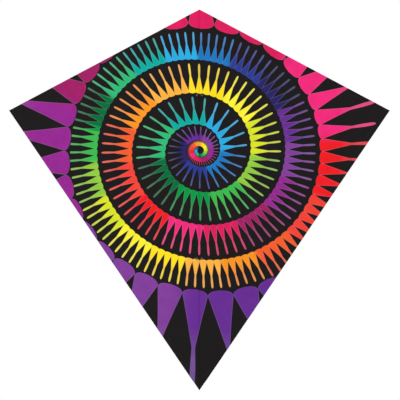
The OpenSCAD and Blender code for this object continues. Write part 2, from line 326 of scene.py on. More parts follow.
    # The line round each tooth
    on_line = remap(tree, inside, *SOFT_EDGE, remap(tree, pitch, *PALE_BY_PITCH), 0.0)
    on_line = calc(tree, "MAXIMUM", on_line, remap(tree, height, *PALE_STEM))
    drawn = mix(tree, on_line, wheel.outputs[0], PALE)
    line = calc(tree, "MULTIPLY", pitch, LINE_BY_PITCH)
    line = calc(tree, "MINIMUM", line, LINE)
    beyond = calc(tree, "ADD", inside, line)
    dyed = remap(tree, beyond, *SOFT_EDGE, 0.0, 1.0)
    before_end = calc(tree, "LESS_THAN", turn, ARM_END)
    dyed = calc(tree, "MULTIPLY", dyed, before_end)
    return drawn, dyed


# Threads of 0.25 mm would not show at all, so the weave is drawn four times as coarse
THREAD = 1.0 * MM
# Patches of slightly uneven dye and soft creases, by noise scale, and the bare cloth's colour
UNEVEN_DYE = 55.0
CREASES = 28.0
BARE = "8A878C"


def printed_cloth(name, show):
    """The cloth's finish, where show is how much of the print's colour reaches this side."""
    material, tree, shader = finish_of(name, Specular_IOR_Level=0.06)
    dye, dyed = spiral_print(tree)
    place = object_place(tree)
    uneven = speckle(tree, place, UNEVEN_DYE, 4.0)
    shade = remap(tree, uneven, 0.3, 0.7, 0.94, 1.06)
    colour = mix(tree, dyed, GROUND, dye)
    if show < 1:
        colour = mix(tree, 1 - show, colour, BARE)
    colour = add(tree, "ShaderNodeVectorMath", colour, put={3: shade}, operation="SCALE")
    link(tree, shader, Base_Color=colour)
    threads = [wave(tree, place, THREAD, 0.6, 1.0, 3.0, way=way) for way in ("X", "Z")]
    weave = calc(tree, "ADD", *threads)
    creases = speckle(tree, place, CREASES, 3.0, 0.6)
    bump = bumps(tree, weave, 0.25, 0.00008)
    bump = add(tree, "ShaderNodeBump", 0.15, 0.0015, put={3: creases, 4: bump})
    link(tree, shader, Normal=bump)
    rough = remap(tree, weave, 0.0, 2.0, 0.62, 0.78)
    link(tree, shader, Roughness=rough)
    return material


front_print = printed_cloth("printed polyester, front", 1.0)
back_print = printed_cloth("printed polyester, show-through", 0.72)

# The sail's outline on the flat cloth, and how it is held: flat down the spine, swept back at
# each fold line, a shallow belly in each panel and light folds that run out of each corner
joints = {joint["name"]: joint for joint in frame["joints"]}
wing_joint = joints["right_wing_fold"]
FOLD_X = wing_joint["pos_m"][0]
ROD_Y = wing_joint["pos_m"][1]
SWEEP = -math.radians(wing_joint["range_deg"][0])
NOSE_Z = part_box("sail_centre")[1].z
TAIL_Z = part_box("sail_centre")[0].z
TIP_REST_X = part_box("right_sail")[1].x
TIP_X = FOLD_X + (TIP_REST_X - FOLD_X - ROD_Y * math.sin(SWEEP)) / math.cos(SWEEP)
CLOTH = 0.2 * MM
GRID = 5 * MM
# Points on the spine's line still belong to one half of the sail
HAIR = 0.001 * MM
BEND_START = 9.5 * MM
BEND_END = 15.5 * MM
SPINE_HOLDS = 60 * MM
BELLY = 3.5 * MM
# Each corner's pull: its place, the height of its folds, how far they reach, folds to a radian
PULLS = (
    ((TIP_X, 0.0), 0.7 * MM, 0.10, 21.0),
    ((0.0, NOSE_Z), 0.5 * MM, 0.08, 17.0),
    ((0.0, TAIL_Z), 0.6 * MM, 0.12, 19.0),
)
# Turns what lies flat so that it stands up in X and Z
UPRIGHT = Matrix.Rotation(math.pi / 2, 4, "X")


def smooth(t):
    t = min(max(t, 0.0), 1.0)
    return t * t * (3 - 2 * t)


def on_sail(x, z, depth=0.0):
    """Where a point of the flat cloth lies at rest, depth behind its front face."""
    reach = abs(x)
    side = math.copysign(1, x)
    height = NOSE_Z - TAIL_Z
    far = reach / TIP_X
    low = (z - TAIL_Z * (1 - far)) / height
    high = (NOSE_Z * (1 - far) - z) / height
    belly = 27 * max(far, 0.0) * max(low, 0.0) * max(high, 0.0)
    loose = smooth((reach - BEND_START) / SPINE_HOLDS)
    y = depth - BELLY * loose * belly ** 0.8
    held = loose * smooth(belly * 4)
    for (pull_x, pull_z), fold, far_out, count in PULLS:
        away = math.hypot(reach - pull_x, z - pull_z)
        about = math.atan2(z - pull_z, reach - pull_x)
        y += fold * held * math.exp(-away / far_out) * math.sin(count * about + side)
    y += 0.5 * MM * held * noise.noise((x * 16, z * 16, 0.7))
    turn = SWEEP * smooth((reach - BEND_START) / (BEND_END - BEND_START))
    out = reach - FOLD_X
    back = y - ROD_Y
    return Vector((
        side * (FOLD_X + out * math.cos(turn) - back * math.sin(turn)),
        ROD_Y + out * math.sin(turn) + back * math.cos(turn),
        z,
    ))


def piece(name, bm, *materials):
    """A smooth shaded object with this mesh and these materials."""
    mesh = bpy.data.meshes.new(name)
    for face in bm.faces:
        face.smooth = True
    bm.to_mesh(mesh)
    bm.free()
    made = bpy.data.objects.new(name, mesh)
    bpy.context.scene.collection.objects.link(made)
    for material in materials:
        mesh.materials.append(material)
    return made


def outward(bm):
    bmesh.ops.recalc_face_normals(bm, faces=bm.faces[:])


def thicken(bm, thickness):
    """Thickness behind the faces of an open mesh, closed all round."""
    bmesh.ops.solidify(bm, geom=bm.faces[:], thickness=thickness)
    outward(bm)


def face_towards(bm, way):
    """Turns an open mesh over if most of it faces away from way."""
    outward(bm)
    if sum(face.normal.dot(way) * face.calc_area() for face in bm.faces) < 0:
        bmesh.ops.reverse_faces(bm, faces=bm.faces[:])


# The eyelets go through the cloth. Their holes are punched before they are set.
PUNCH_R = 1.72 * MM
EYELETS = [
    Vector((mount["pos_m"][0], 0, mount["pos_m"][2]))
    for mount in frame["record"]["mounts"] if mount["name"].startswith("bridle")
]


def punch(made, spots):
    """Cuts round holes through a piece at these places."""
    bm = bmesh.new()
    for spot in spots:
        bmesh.ops.create_cone(
            bm, cap_ends=True, segments=20, radius1=PUNCH_R, radius2=PUNCH_R, depth=10 * MM,
            matrix=Matrix.Translation(spot) @ UPRIGHT,
        )
    cutter = piece("punch", bm)
    hole = made.modifiers.new("holes", "BOOLEAN")
    hole.operation = "DIFFERENCE"
    hole.object = cutter
    bpy.context.view_layer.update()
    punched = made.evaluated_get(bpy.context.evaluated_depsgraph_get())
    made.data = bpy.data.meshes.new_from_object(punched)
    made.modifiers.clear()
    bpy.data.objects.remove(cutter)


def flat_half(side):
    """One half of the sail, flat in X and Z: a fine grid cut to a triangle."""
    bm = bmesh.new()
    bm.loops.layers.uv.new("cloth")
    across = math.ceil(TIP_X / GRID)
    down = math.ceil((NOSE_Z - TAIL_Z) / GRID)
    bmesh.ops.create_grid(bm, x_segments=across, y_segments=down, size=0.5)
    middle = Vector((side * TIP_X / 2, 0, (NOSE_Z + TAIL_Z) / 2))
    bmesh.ops.transform(
        bm, verts=bm.verts[:],
        matrix=Matrix.Translation(middle) @ UPRIGHT @ Matrix.Diagonal((TIP_X, NOSE_Z - TAIL_Z, 1, 1)),
    )
    for end in (NOSE_Z, TAIL_Z):
        bmesh.ops.bisect_plane(
            bm, geom=bm.verts[:] + bm.edges[:] + bm.faces[:], plane_co=(0, 0, end),
            plane_no=(side * abs(end), 0, math.copysign(TIP_X, end)), clear_outer=True,
        )
    return bm


for side, word in ((1, "right"), (-1, "left")):
    bm = flat_half(side)
    cloth = bm.loops.layers.uv.active
    for vert in bm.verts:
        vert.co = on_sail(side * max(abs(vert.co.x), HAIR), vert.co.z)
    for face in bm.faces:
        for loop in face.loops:
            loop[cloth].uv = (loop.vert.co.x, loop.vert.co.z)
    thicken(bm, CLOTH)
    bm.normal_update()
    for face in bm.faces:
        face.material_index = int(face.normal.y > 0.5)
    sail = piece(word + "_sail_cloth", bm, front_print, back_print)
    punch(sail, [spot for spot in EYELETS if spot.x * side > 0])
    if side > 0:
        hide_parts("right_sail", "sail_centre")
    else:
        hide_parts("left_sail")
    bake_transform(sail)


# Folded hems.
# Each outer edge of the sail is cut 10 mm over size, turned to the back and sewn down, so the
# hem shows the print that lies outside the outline. A row of lockstitch holds it, front and back.
SEAM_IN = 8.4 * MM
STITCH_PITCH = 3.2 * MM
THREAD_R = 0.17 * MM
HEM_CLOTH = 0.12 * MM
BACK = Vector((0, 1, 0))
# The fold, from the edge to the raw edge inside: distance in from the edge, and depth, in mm
HEM_FOLD = (
    (0.0, -0.04), (-0.22, 0.1), (-0.25, 0.35), (0.0, 0.66), (1.5, 0.78), (3.5, 0.72),
    (5.5, 0.74), (7.4, 0.68), (8.4, 0.52), (9.2, 0.64), (10.0, 0.6),
)
HEM_ARC = [0.0]
for (a, b), (c, d) in zip(HEM_FOLD, HEM_FOLD[1:]):
    HEM_ARC.append(HEM_ARC[-1] + math.hypot(c - a, d - b))

# Polyester sewing thread, black, hard twisted, with a dull gloss
thread_finish, tree, shader = finish_of(
    "black polyester thread", Roughness=0.5, Specular_IOR_Level=0.35, Sheen_Weight=0.2
)
place = object_place(tree)
twist = wave(tree, place, 0.4 * MM, 2.0, way="DIAGONAL")
# The twist's colour is painted highlight on the crowns of the plies and painted shade in the grooves between them
twist_highlight_and_shade = mix(tree, twist, "0E0D0E", "2B292B")
link(tree, shader, Base_Color=twist_highlight_and_shade, Normal=bumps(tree, twist, 0.4, 0.0001))


def sew(bm, start, end, out=(0, 1, 0), place_of=Vector):
    """A row of stitches from start to end, where place_of puts a point onto the work."""
    run = end - start
    count = max(1, round(run.length / STITCH_PITCH))
    for i in range(count):
        first = place_of(start + run * (i + 0.12) / count)
        last = place_of(start + run * (i + 0.88) / count)
        way = (last - first) / 2
        width = way.cross(Vector(out)).normalized() * THREAD_R
        rise = way.cross(width).normalized() * THREAD_R
        turned_to = Matrix((way, width, rise)).transposed().to_4x4()
        placed = Matrix.Translation((first + last) / 2) @ turned_to
        bmesh.ops.create_icosphere(bm, subdivisions=1, radius=1, matrix=placed)


def cut_off(bm, through, towards):
    """Cuts away what lies beyond a plane, on the side that towards points to."""
    bmesh.ops.bisect_plane(
        bm, geom=bm.verts[:] + bm.edges[:] + bm.faces[:], dist=1e-7, plane_co=through,
        plane_no=towards, clear_outer=True,
    )


for side, word in ((1, "right"), (-1, "left")):
    tip = Vector((side * TIP_X, 0, 0))
    corners = [Vector((0, 0, NOSE_Z)), Vector((0, 0, TAIL_Z))]
    middle = (tip + corners[0] + corners[1]) / 3
    inward = []
    for corner in corners:
        across = (tip - corner).cross(BACK).normalized()
        inward.append(across * math.copysign(1, across.dot(middle - tip)))
    mitre = (inward[0] + inward[1]).cross(BACK)
    for corner, into, part in zip(corners, inward, ("upper", "lower")):
        edge = tip - corner
        bm = bmesh.new()
        cloth = bm.loops.layers.uv.new("cloth")
        rows = len(HEM_FOLD) - 1
        columns = math.ceil(edge.length / GRID)
        bmesh.ops.create_grid(bm, x_segments=columns, y_segments=rows, size=0.5)
        for face in bm.faces:
            for loop in face.loops:
                spot = loop.vert.co
                outside = HEM_ARC[round((spot.y + 0.5) * rows)] * MM
                flat = corner + edge * (spot.x + 0.5) - into * outside
                loop[cloth].uv = (on_sail(flat.x, flat.z).x, flat.z)
        for vert in bm.verts:
            inset, depth = HEM_FOLD[round((vert.co.y + 0.5) * rows)]
            vert.co = corner + edge * (vert.co.x + 0.5) + into * inset * MM
            vert.co.y = depth * MM
        cut_off(bm, (0, 0, 0), (-side, 0, 0))
        cut_off(bm, tip, mitre * math.copysign(1, mitre.dot(tip - corner)))
        for vert in bm.verts:
            vert.co = on_sail(side * max(abs(vert.co.x), HAIR), vert.co.z, vert.co.y)
        face_towards(bm, BACK)
        thicken(bm, HEM_CLOTH)
        hem = piece(word + "_" + part + "_hem_fold", bm, front_print)
        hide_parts(word + "_" + part + "_hem")
        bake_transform(hem)

        # The seam, a little short of the corners
        bm = bmesh.new()
        seam_start = corner + edge * 0.025 + into * SEAM_IN
        seam_end = tip - edge * 0.035 + into * SEAM_IN
        for depth, out in ((-0.05 * MM, (0, -1, 0)), (0.62 * MM, (0, 1, 0))):
            sew(bm, seam_start, seam_end, out, lambda p: on_sail(p.x, p.z, depth))
        seam = piece(word + "_" + part + "_hem_stitches", bm, thread_finish)
        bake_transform(seam)


# Spine and spreader rods.
# Pultruded fibreglass rods, 4 mm in the spine and 3.5 mm in the wings. Black resin over glass
# rovings drawn lengthwise, which leaves fine streaks along the rod and a satin gloss.
ROVING = 0.35 * MM
STREAK = 60 * MM
SPECK = 0.8 * MM
# Bores that slip over the two sizes of rod, by radius in mm
ROD_PLAY = 2.03
SPREADER_PLAY = 1.78


def fibreglass(name, lengthwise):
    material, tree, shader = finish_of(name, IOR=1.52, Coat_Weight=0.25, Coat_Roughness=0.3)
    place = object_place(tree)
    scale = [1 / ROVING] * 3
    scale[lengthwise] = 1 / STREAK
    lengthened = add(tree, "ShaderNodeMapping", place, put={3: scale})
    streaks = speckle(tree, lengthened, 1.0, 3.0, 0.7)
    specks = speckle(tree, place, 1 / SPECK, 2.0)
    ramp = remap(tree, streaks, 0.35, 0.7, 0.0, 1.0)
    colour = mix(tree, ramp, "141618", "34383C")
    link(tree, shader, Base_Color=colour)
    rough = remap(tree, specks, 0.3, 0.7, 0.28, 0.48)
    link(tree, shader, Roughness=rough)
    bump = bumps(tree, streaks, 0.35, 0.00006)
    link(tree, shader, Normal=bump)
    return material


spine_glass = fibreglass("pultruded fibreglass, along the spine", 2)
wing_glass = fibreglass("pultruded fibreglass, along the wing", 0)
for name, finish in (
    ("spine_upper_rod", spine_glass), ("spine_lower_rod", spine_glass),
    ("left_spreader_rod", wing_glass), ("right_spreader_rod", wing_glass),
):
    rod = frame["nodes"][name]
    rod.data.materials.clear()
    rod.data.materials.append(finish)


# Spine ferrule.
# A drawn aluminium tube, 60 mm long, that joins the halves of the spine. It is pinched onto the
# lower half with two rolled grooves, and its ends are deburred.
FERRULE_R = 2.9
GROOVE = 0.25


def turned(bm, profile, centre, axis, steps=40):
    """Spins a closed profile of (distance out, distance along) in mm round an axis."""
    centre, axis = Vector(centre), Vector(axis)
    out = axis.orthogonal().normalized()
    ring = [bm.verts.new(centre + (out * r + axis * h) * MM) for r, h in profile]
    ring_edges = [bm.edges.new((ring[i - 1], ring[i])) for i in range(len(ring))]
    bmesh.ops.spin(
        bm, geom=ring + ring_edges, cent=centre, axis=axis, angle=TURN, steps=steps, use_merge=True
    )
    bmesh.ops.remove_doubles(bm, verts=bm.verts[:], dist=1e-6)
    outward(bm)


# Aluminium as drawn: bright, with fine lines along the tube and a soft, wide gloss
drawn_aluminium, tree, shader = finish_of("drawn aluminium", Metallic=1.0)
place = object_place(tree)
lines = add(tree, "ShaderNodeMapping", place, put={3: (4000, 4000, 25)})
lines = speckle(tree, lines, 1.0, 2.0)
handled = speckle(tree, place, 180.0, 4.0)
worn = remap(tree, handled, 0.35, 0.7, 0.0, 1.0)
metal = mix(tree, worn, "D9DADC", "B7B9BD")
link(
    tree, shader, Base_Color=metal,
    Roughness=remap(tree, lines, 0.3, 0.7, 0.22, 0.42),
    Normal=bumps(tree, lines, 0.2, 0.00003),
)

low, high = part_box("spine_ferrule")
half = (high.z - low.z) / 2 / MM
profile = [(ROD_PLAY, -half + 0.15), (ROD_PLAY + 0.2, -half), (FERRULE_R - 0.3, -half)]
profile.append((FERRULE_R, -half + 0.35))
for groove in (-half + 8, -half + 13):
    for along, dip in ((-0.8, 0), (-0.35, 0.7), (0, 1), (0.35, 0.7), (0.8, 0)):
        profile.append((FERRULE_R - GROOVE * dip, groove + along))
profile += [(FERRULE_R, 0.0), (FERRULE_R, half - 0.35), (FERRULE_R - 0.3, half)]
profile += [(ROD_PLAY + 0.2, half), (ROD_PLAY, half - 0.15)]
bm = bmesh.new()
turned(bm, profile, (0, ROD_Y, (low.z + high.z) / 2), (0, 0, 1))
ferrule = piece("spine_ferrule_tube", bm, drawn_aluminium)
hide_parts("spine_ferrule")
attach(ferrule, "kite_spine")


# End caps.
# Dip moulded soft vinyl caps on the ends of the spine and of the spreaders: a round closed end,
# a thickened rim, and the faint orange peel and dull gloss of plasticised vinyl.
def soft_vinyl(name, dark, light, rough):
    material, tree, shader = finish_of(name, IOR=1.53, Specular_IOR_Level=0.45)
    place = object_place(tree)
    peel = speckle(tree, place, 1 / (0.9 * MM), 2.0)
    bloom = speckle(tree, place, 160.0, 5.0, 0.65)
    dusty = remap(tree, bloom, 0.4, 0.75, 0.0, 1.0)
    colour = mix(tree, dusty, dark, light)
    link(tree, shader, Base_Color=colour)
    gloss = remap(tree, bloom, 0.3, 0.7, rough, rough + 0.16)
    link(tree, shader, Roughness=gloss, Normal=bumps(tree, peel, 0.3, 0.0001))
    return material


vinyl = soft_vinyl("black soft vinyl", "121213", "232324", 0.36)
SPINE_CAP_R = 3.0
TIP_CAP_R = 2.6
CAP_LENGTH = 14.0


def end_cap(bm, radius, bore, centre, axis):
    """A cap with its round end at centre, open towards axis."""
    length = CAP_LENGTH
    slopes = [math.radians(degrees) for degrees in (4, 20, 36, 52, 68, 82)]
    dome = [(radius * math.sin(slope), radius * 0.55 * (1 - math.cos(slope))) for slope in slopes]
    outside = dome + [(radius, 3.0), (radius - 0.12, length - 2.4), (radius, length - 1.8)]
    rim = [(radius, length - 0.3), (radius - 0.25, length), (bore + 0.15, length), (bore, length - 0.2)]
    turned(bm, outside + rim + [(bore, 2.1), (0.3, 2.0)], centre, axis, 32)
    hole = [edge for edge in bm.edges if edge.is_boundary]
    bmesh.ops.holes_fill(bm, edges=hole, sides=0)


def onto_wing(bm, side):
    """Turns what was made for a flat right wing to its swept rest place on either wing."""
    fold = Matrix.Translation((FOLD_X, ROD_Y, 0))
    swept = fold @ Matrix.Rotation(SWEEP, 4, "Z") @ fold.inverted()
    if side < 0:
        swept = Matrix.Diagonal((-1, 1, 1, 1)) @ swept
    bmesh.ops.transform(bm, matrix=swept, verts=bm.verts[:])
    outward(bm)


NOSE_CAP_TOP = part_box("nose_end_cap")[1].z
TAIL_CAP_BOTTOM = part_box("tail_end_cap")[0].z
TIP_CAP_END = TIP_X - 16.5 * MM
for name, end, axis in (("nose", NOSE_CAP_TOP, (0, 0, -1)), ("tail", TAIL_CAP_BOTTOM, (0, 0, 1))):
    bm = bmesh.new()
    end_cap(bm, SPINE_CAP_R, ROD_PLAY, (0, ROD_Y, end), axis)
    cap = piece(name + "_cap_moulding", bm, vinyl)
    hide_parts(name + "_end_cap")
    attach(cap, "kite_spine")
for side, word in ((1, "right"), (-1, "left")):
    bm = bmesh.new()
    end_cap(bm, TIP_CAP_R, SPREADER_PLAY, (TIP_CAP_END, ROD_Y, 0), (-1, 0, 0))
    onto_wing(bm, side)
    cap = piece(word + "_tip_cap_moulding", bm, vinyl)
    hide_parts(word + "_tip_cap")
    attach(cap, word + "_wing")


# Centre connector.
# One soft vinyl moulding: a sleeve that slides on the spine, and on each side a thin neck that
# bends, with a ribbed socket for the spreader. Two tight vinyl rings keep the sleeve in place.
HUB_R = 4.2
HUB_HALF = 9.0
SOCKET_R = 3.2
SOCKET_END = 40.0
NECK_R = 1.55
NECK_START = 6.2
NECK_END = 13.8
hub = [(ROD_PLAY, -HUB_HALF + 0.3), (ROD_PLAY + 0.3, -HUB_HALF), (HUB_R - 0.7, -HUB_HALF)]
hub += [(HUB_R - 0.15, -HUB_HALF + 0.3), (HUB_R, -HUB_HALF + 0.9), (HUB_R, -HUB_HALF + 2.0)]
hub.append((HUB_R - 0.35, -HUB_HALF + 2.6))
hub += [(out, -along) for out, along in reversed(hub)]
bm = bmesh.new()
turned(bm, hub, (0, ROD_Y, 0), (0, 0, 1))
sleeve = piece("connector_sleeve", bm, vinyl)
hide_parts("centre_connector")
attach(sleeve, "kite_spine")

# From inside the sleeve's wall out to the socket's mouth
arm = [(0.3, 3.3), (NECK_R + 0.5, 3.3), (NECK_R + 0.25, 4.2), (NECK_R, 5.0)]
arm += [(NECK_R, 6.4 + 0.6 * i) for i in range(3)]
arm += [(1.8, 8.6), (2.35, 9.7), (2.8, 10.9), (3.05, 12.2), (SOCKET_R, 14.0)]
for rib in (17.0, 20.0, 23.0, 26.0):
    arm += [(SOCKET_R - dip, rib + on) for on, dip in ((0, 0), (0.4, 0.35), (1.1, 0.35), (1.5, 0))]
arm += [(SOCKET_R, SOCKET_END - 0.5), (SOCKET_R - 0.4, SOCKET_END)]
arm += [(SPREADER_PLAY + 0.3, SOCKET_END), (SPREADER_PLAY, SOCKET_END - 0.3), (SPREADER_PLAY, 14.9)]
arm += [(0.3, 14.8)]
for side, word in ((1, "right"), (-1, "left")):
    bm = bmesh.new()
    turned(bm, arm, (0, ROD_Y, 0), (1, 0, 0), 32)
    # The part inside the fold stays square to the spine; beyond it the arm follows the sweep
    for vert in bm.verts:
        turn = SWEEP * smooth((vert.co.x / MM - NECK_START) / (NECK_END - NECK_START))
        out, back = vert.co.x - FOLD_X, vert.co.y - ROD_Y
        vert.co.x = FOLD_X + out * math.cos(turn) - back * math.sin(turn)
        vert.co.y = ROD_Y + out * math.sin(turn) + back * math.cos(turn)
        vert.co.x *= side
    outward(bm)
    socket = piece(word + "_connector_neck_and_socket", bm, vinyl)
    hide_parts(word + "_connector_arm")
    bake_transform(socket)

STOP_LENGTH = 3.0
stop = [(ROD_PLAY, 0.25), (ROD_PLAY + 0.25, 0), (2.9, 0), (3.25, 0.3), (3.4, 0.9)]
stop += [(out, STOP_LENGTH - along) for out, along in reversed(stop)]
for word in ("upper", "lower"):
    low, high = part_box("stop_ring_" + word)
    bm = bmesh.new()
    turned(bm, stop, (0, ROD_Y, low.z), (0, 0, 1), 36)
    ring = piece("stop_ring_" + word + "_moulding", bm, vinyl)
    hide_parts("stop_ring_" + word)
    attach(ring, "kite_spine")


# Webbing pockets and loops.
# Woven black polyester webbing, 0.5 mm thick, sewn flat to the back of the sail on both sides
# of a tunnel: a closed pocket for the nose and for each wing tip, an open channel at the tail,
# and two loops that hold the cloth to the spine.
WEB = 0.5
SEWN_Y = 1.27
# Ribs of real webbing are 0.5 mm apart; these are twice as coarse
WEB_RIB = 1.0 * MM


def webbing_finish(name, ribs_along, ribs_across):
    material, tree, shader = finish_of(
        name, Specular_IOR_Level=0.25, Sheen_Weight=0.12, Sheen_Roughness=0.45
    )
    place = object_place(tree)
    rib = wave(tree, place, WEB_RIB, 0.8, 2.0, 3.0, way=ribs_along)
    cross = wave(tree, place, WEB_RIB * 0.6, 0.8, 2.0, 3.0, way=ribs_across)
    woven = calc(tree, "MULTIPLY_ADD", cross, 0.45, rib)
    fuzz = speckle(tree, place, 900.0, 3.0)
    # The colour is painted highlight on the ribs' crowns and painted shade in the grooves between them, with
    # random fuzz mixed in
    rib_highlight_and_fuzz = calc(tree, "MULTIPLY_ADD", fuzz, 0.5, woven)
    ramp = remap(tree, rib_highlight_and_fuzz, 0.3, 1.7, 0.0, 1.0)
    colour = mix(tree, ramp, "0D0C0D", "2C2A2D")
    link(
        tree, shader, Base_Color=colour,
        Roughness=remap(tree, woven, 0.0, 1.4, 0.85, 0.6),
        Normal=bumps(tree, woven, 0.55, 0.00018),
    )
    return material


webbing = webbing_finish("black polyester webbing", "Z", "X")


def drawn_out(bm, line, by):
    """An open strip: a line of corners drawn out by a step, all in mm."""
    corners = [bm.verts.new(mm(*corner)) for corner in line]
    chain = [bm.edges.new(pair) for pair in zip(corners, corners[1:])]
    raised = bmesh.ops.extrude_edge_only(bm, edges=chain)["geom"]
    moved = [part for part in raised if isinstance(part, bmesh.types.BMVert)]
    bmesh.ops.translate(bm, verts=moved, vec=mm(*by))


def round_off(bm, edges, radius):
    bmesh.ops.bevel(
        bm, geom=edges, offset=radius * MM, offset_type="OFFSET", affect="EDGES", segments=8,
        profile=0.5, material=-1,
    )


def tunnel(bm, half_width, half_bore, top, bend, length, closed):
    """A strip of webbing over a rod that runs up Z, from 0 to length, all in mm."""
    path = [(-half_width, SEWN_Y), (-half_bore, SEWN_Y), (-half_bore, top)]
    path += [(-u, y) for u, y in reversed(path)]
    drawn_out(bm, [(u, y, 0) for u, y in path], (0, 0, length))
    for level, radius in ((SEWN_Y, 0.8), (top, bend)):
        corners = [
            edge for edge in bm.edges
            if all(abs(v.co.y - level * MM) < 1e-6 and abs(abs(v.co.x) - half_bore * MM) < 1e-6
                   for v in edge.verts) and abs(edge.verts[0].co.x - edge.verts[1].co.x) < 1e-6
        ]
        round_off(bm, corners, radius)
    upright = [edge for edge in bm.edges if abs(edge.verts[0].co.z - edge.verts[1].co.z) > 1e-4]
    bmesh.ops.subdivide_edges(bm, edges=upright, cuts=round(length * 1.4), use_grid_fill=True)
    bmesh.ops.remove_doubles(bm, verts=bm.verts[:], dist=1e-6)
    face_towards(bm, BACK)
    for vert in bm.verts:
        if closed:
            shut = smooth((vert.co.z / MM - (length - closed)) / closed)
            vert.co.y = SEWN_Y * MM + (vert.co.y - SEWN_Y * MM) * (1 - 0.9 * shut)
        wave = noise.noise((vert.co.x * 150, vert.co.y * 150, vert.co.z * 150))
        vert.co.y += 0.1 * MM * wave * smooth((vert.co.y / MM - 1.0) / 2)
    thicken(bm, WEB * MM)


def box_seam(bm, lines):
    """Rows of stitches on the webbing's flat sides, each from and to a point (x, z) in mm."""
    for (x0, z0), (x1, z1) in lines:
        sew(bm, mm(x0, SEWN_Y + 0.02, z0), mm(x1, SEWN_Y + 0.02, z1))


def sides_sewn(half_width, half_bore, bottom, top):
    """The four sides of the two boxes of stitches beside a tunnel, and nothing over it."""
    outer, inner = half_width - 1.2, half_bore + 1.3
    lines = []
    for side in (-1, 1):
        lines += [((side * x, bottom), (side * x, top)) for x in (outer, inner)]
        lines += [((side * inner, z), (side * outer, z)) for z in (bottom, top)]
    return lines


def put_at(bm, z):
    bmesh.ops.translate(bm, verts=bm.verts[:], vec=(0, 0, z))


# On the spine: name, half width, half of the tunnel outside, its top, its bend, lowest point,
# length, length over which the end is shut
for name, half_width, half_bore, top, bend, z, length, closed in (
    ("nose_pocket", 9.5, 3.8, 8.6, 3.7, 165.0, 29.6, 3.2),
    ("tail_channel", 7.5, 3.8, 8.6, 1.2, -545.0, 21.0, 0),
    ("spine_loop_upper", 8.0, 2.8, 7.6, 2.7, 80.0, 12.0, 0),
    ("spine_loop_lower", 8.0, 2.8, 7.6, 2.7, -372.0, 12.0, 0),
):
    bm = bmesh.new()
    tunnel(bm, half_width, half_bore, top, bend, length, closed)
    put_at(bm, z * MM)
    pocket = piece(name + "_webbing", bm, webbing)
    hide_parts(name)
    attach(pocket, "kite_spine")
    bm = bmesh.new()
    lines = sides_sewn(half_width, half_bore, 1.2, length - (closed or 1.2))
    if closed:
        lines.append(((-half_width + 1.2, length - 0.7), (half_width - 1.2, length - 0.7)))
    box_seam(bm, lines)
    put_at(bm, z * MM)
    seam = piece(name + "_stitches", bm, thread_finish)
    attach(seam, "kite_spine")

# At the wing tips the tunnel lies along the spreader, shut at its outer end
TIP_POCKET = 26.0
for side, word in ((1, "right"), (-1, "left")):
    start_x = TIP_X / MM - 14 - TIP_POCKET
    for stitched in (False, True):
        bm = bmesh.new()
        if stitched:
            lines = sides_sewn(6.0, 3.4, 1.2, TIP_POCKET - 3)
            lines.append(((-4.8, TIP_POCKET + 0.5), (4.8, TIP_POCKET + 0.5)))
            box_seam(bm, lines)
        else:
            tunnel(bm, 6.0, 3.4, 8.2, 3.3, TIP_POCKET + 1.2, 2.6)
        lay = Matrix.Translation((start_x * MM, 0, 0)) @ Matrix.Rotation(math.pi / 2, 4, "Y")
        bmesh.ops.transform(bm, matrix=lay, verts=bm.verts[:])
        onto_wing(bm, side)
        if stitched:
            made = piece(word + "_tip_pocket_stitches", bm, thread_finish)
        else:
            made = piece(word + "_tip_pocket_webbing", bm, webbing)
            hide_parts(word + "_tip_pocket")
        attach(made, word + "_wing")


# Bridle patches and eyelets.
# A square of coated polyester, zigzagged to the back of the sail, stiffens the cloth round each
# pair of eyelets. Inside an eyelet the patch is slit crosswise, so its four soft points nearly
# close the hole until a line is threaded. The eyelets are brass, rolled over, lacquered black.
PATCH_FRONT = 0.28
PATCH_BACK = 0.62
EYELET_FRONT = 0.42
SLIT = 0.07
# The slit points: how far they reach, how far back their tips and roots lie, how thick they are
POINT_REACH = 1.36
POINT_TIP = 0.5
POINT_ROOT = 0.36
POINT_T = 0.1
ZIG_PITCH = 1.3
ZIG_WIDTH = 1.5
ZIG_INSET = 0.9

coated, tree, shader = finish_of("black coated polyester", Sheen_Weight=0.05, Coat_Weight=0.1)
place = object_place(tree)
grain = speckle(tree, place, 1500.0, 2.0)
scuffs = speckle(tree, place, 240.0, 5.0, 0.7)
colour = mix(tree, scuffs, "161517", "2B2A2D")
link(
    tree, shader, Base_Color=colour,
    Roughness=remap(tree, scuffs, 0.3, 0.7, 0.4, 0.6),
    Normal=bumps(tree, grain, 0.4, 0.0001),
)

# Lacquer is thin and smooth, a little rubbed through to warm brass in small scattered patches
lacquered, tree, shader = finish_of(
    "black lacquered brass", Metallic=0.4, Coat_Weight=0.6, Coat_Roughness=0.15
)
place = object_place(tree)
rubbed = speckle(tree, place, 1100.0, 4.0, 0.7)
bare = remap(tree, rubbed, 0.62, 0.72, 0.0, 0.35)
colour = mix(tree, bare, "121214", "6E5A34")
link(tree, shader, Base_Color=colour, Roughness=remap(tree, rubbed, 0.3, 0.7, 0.22, 0.4))

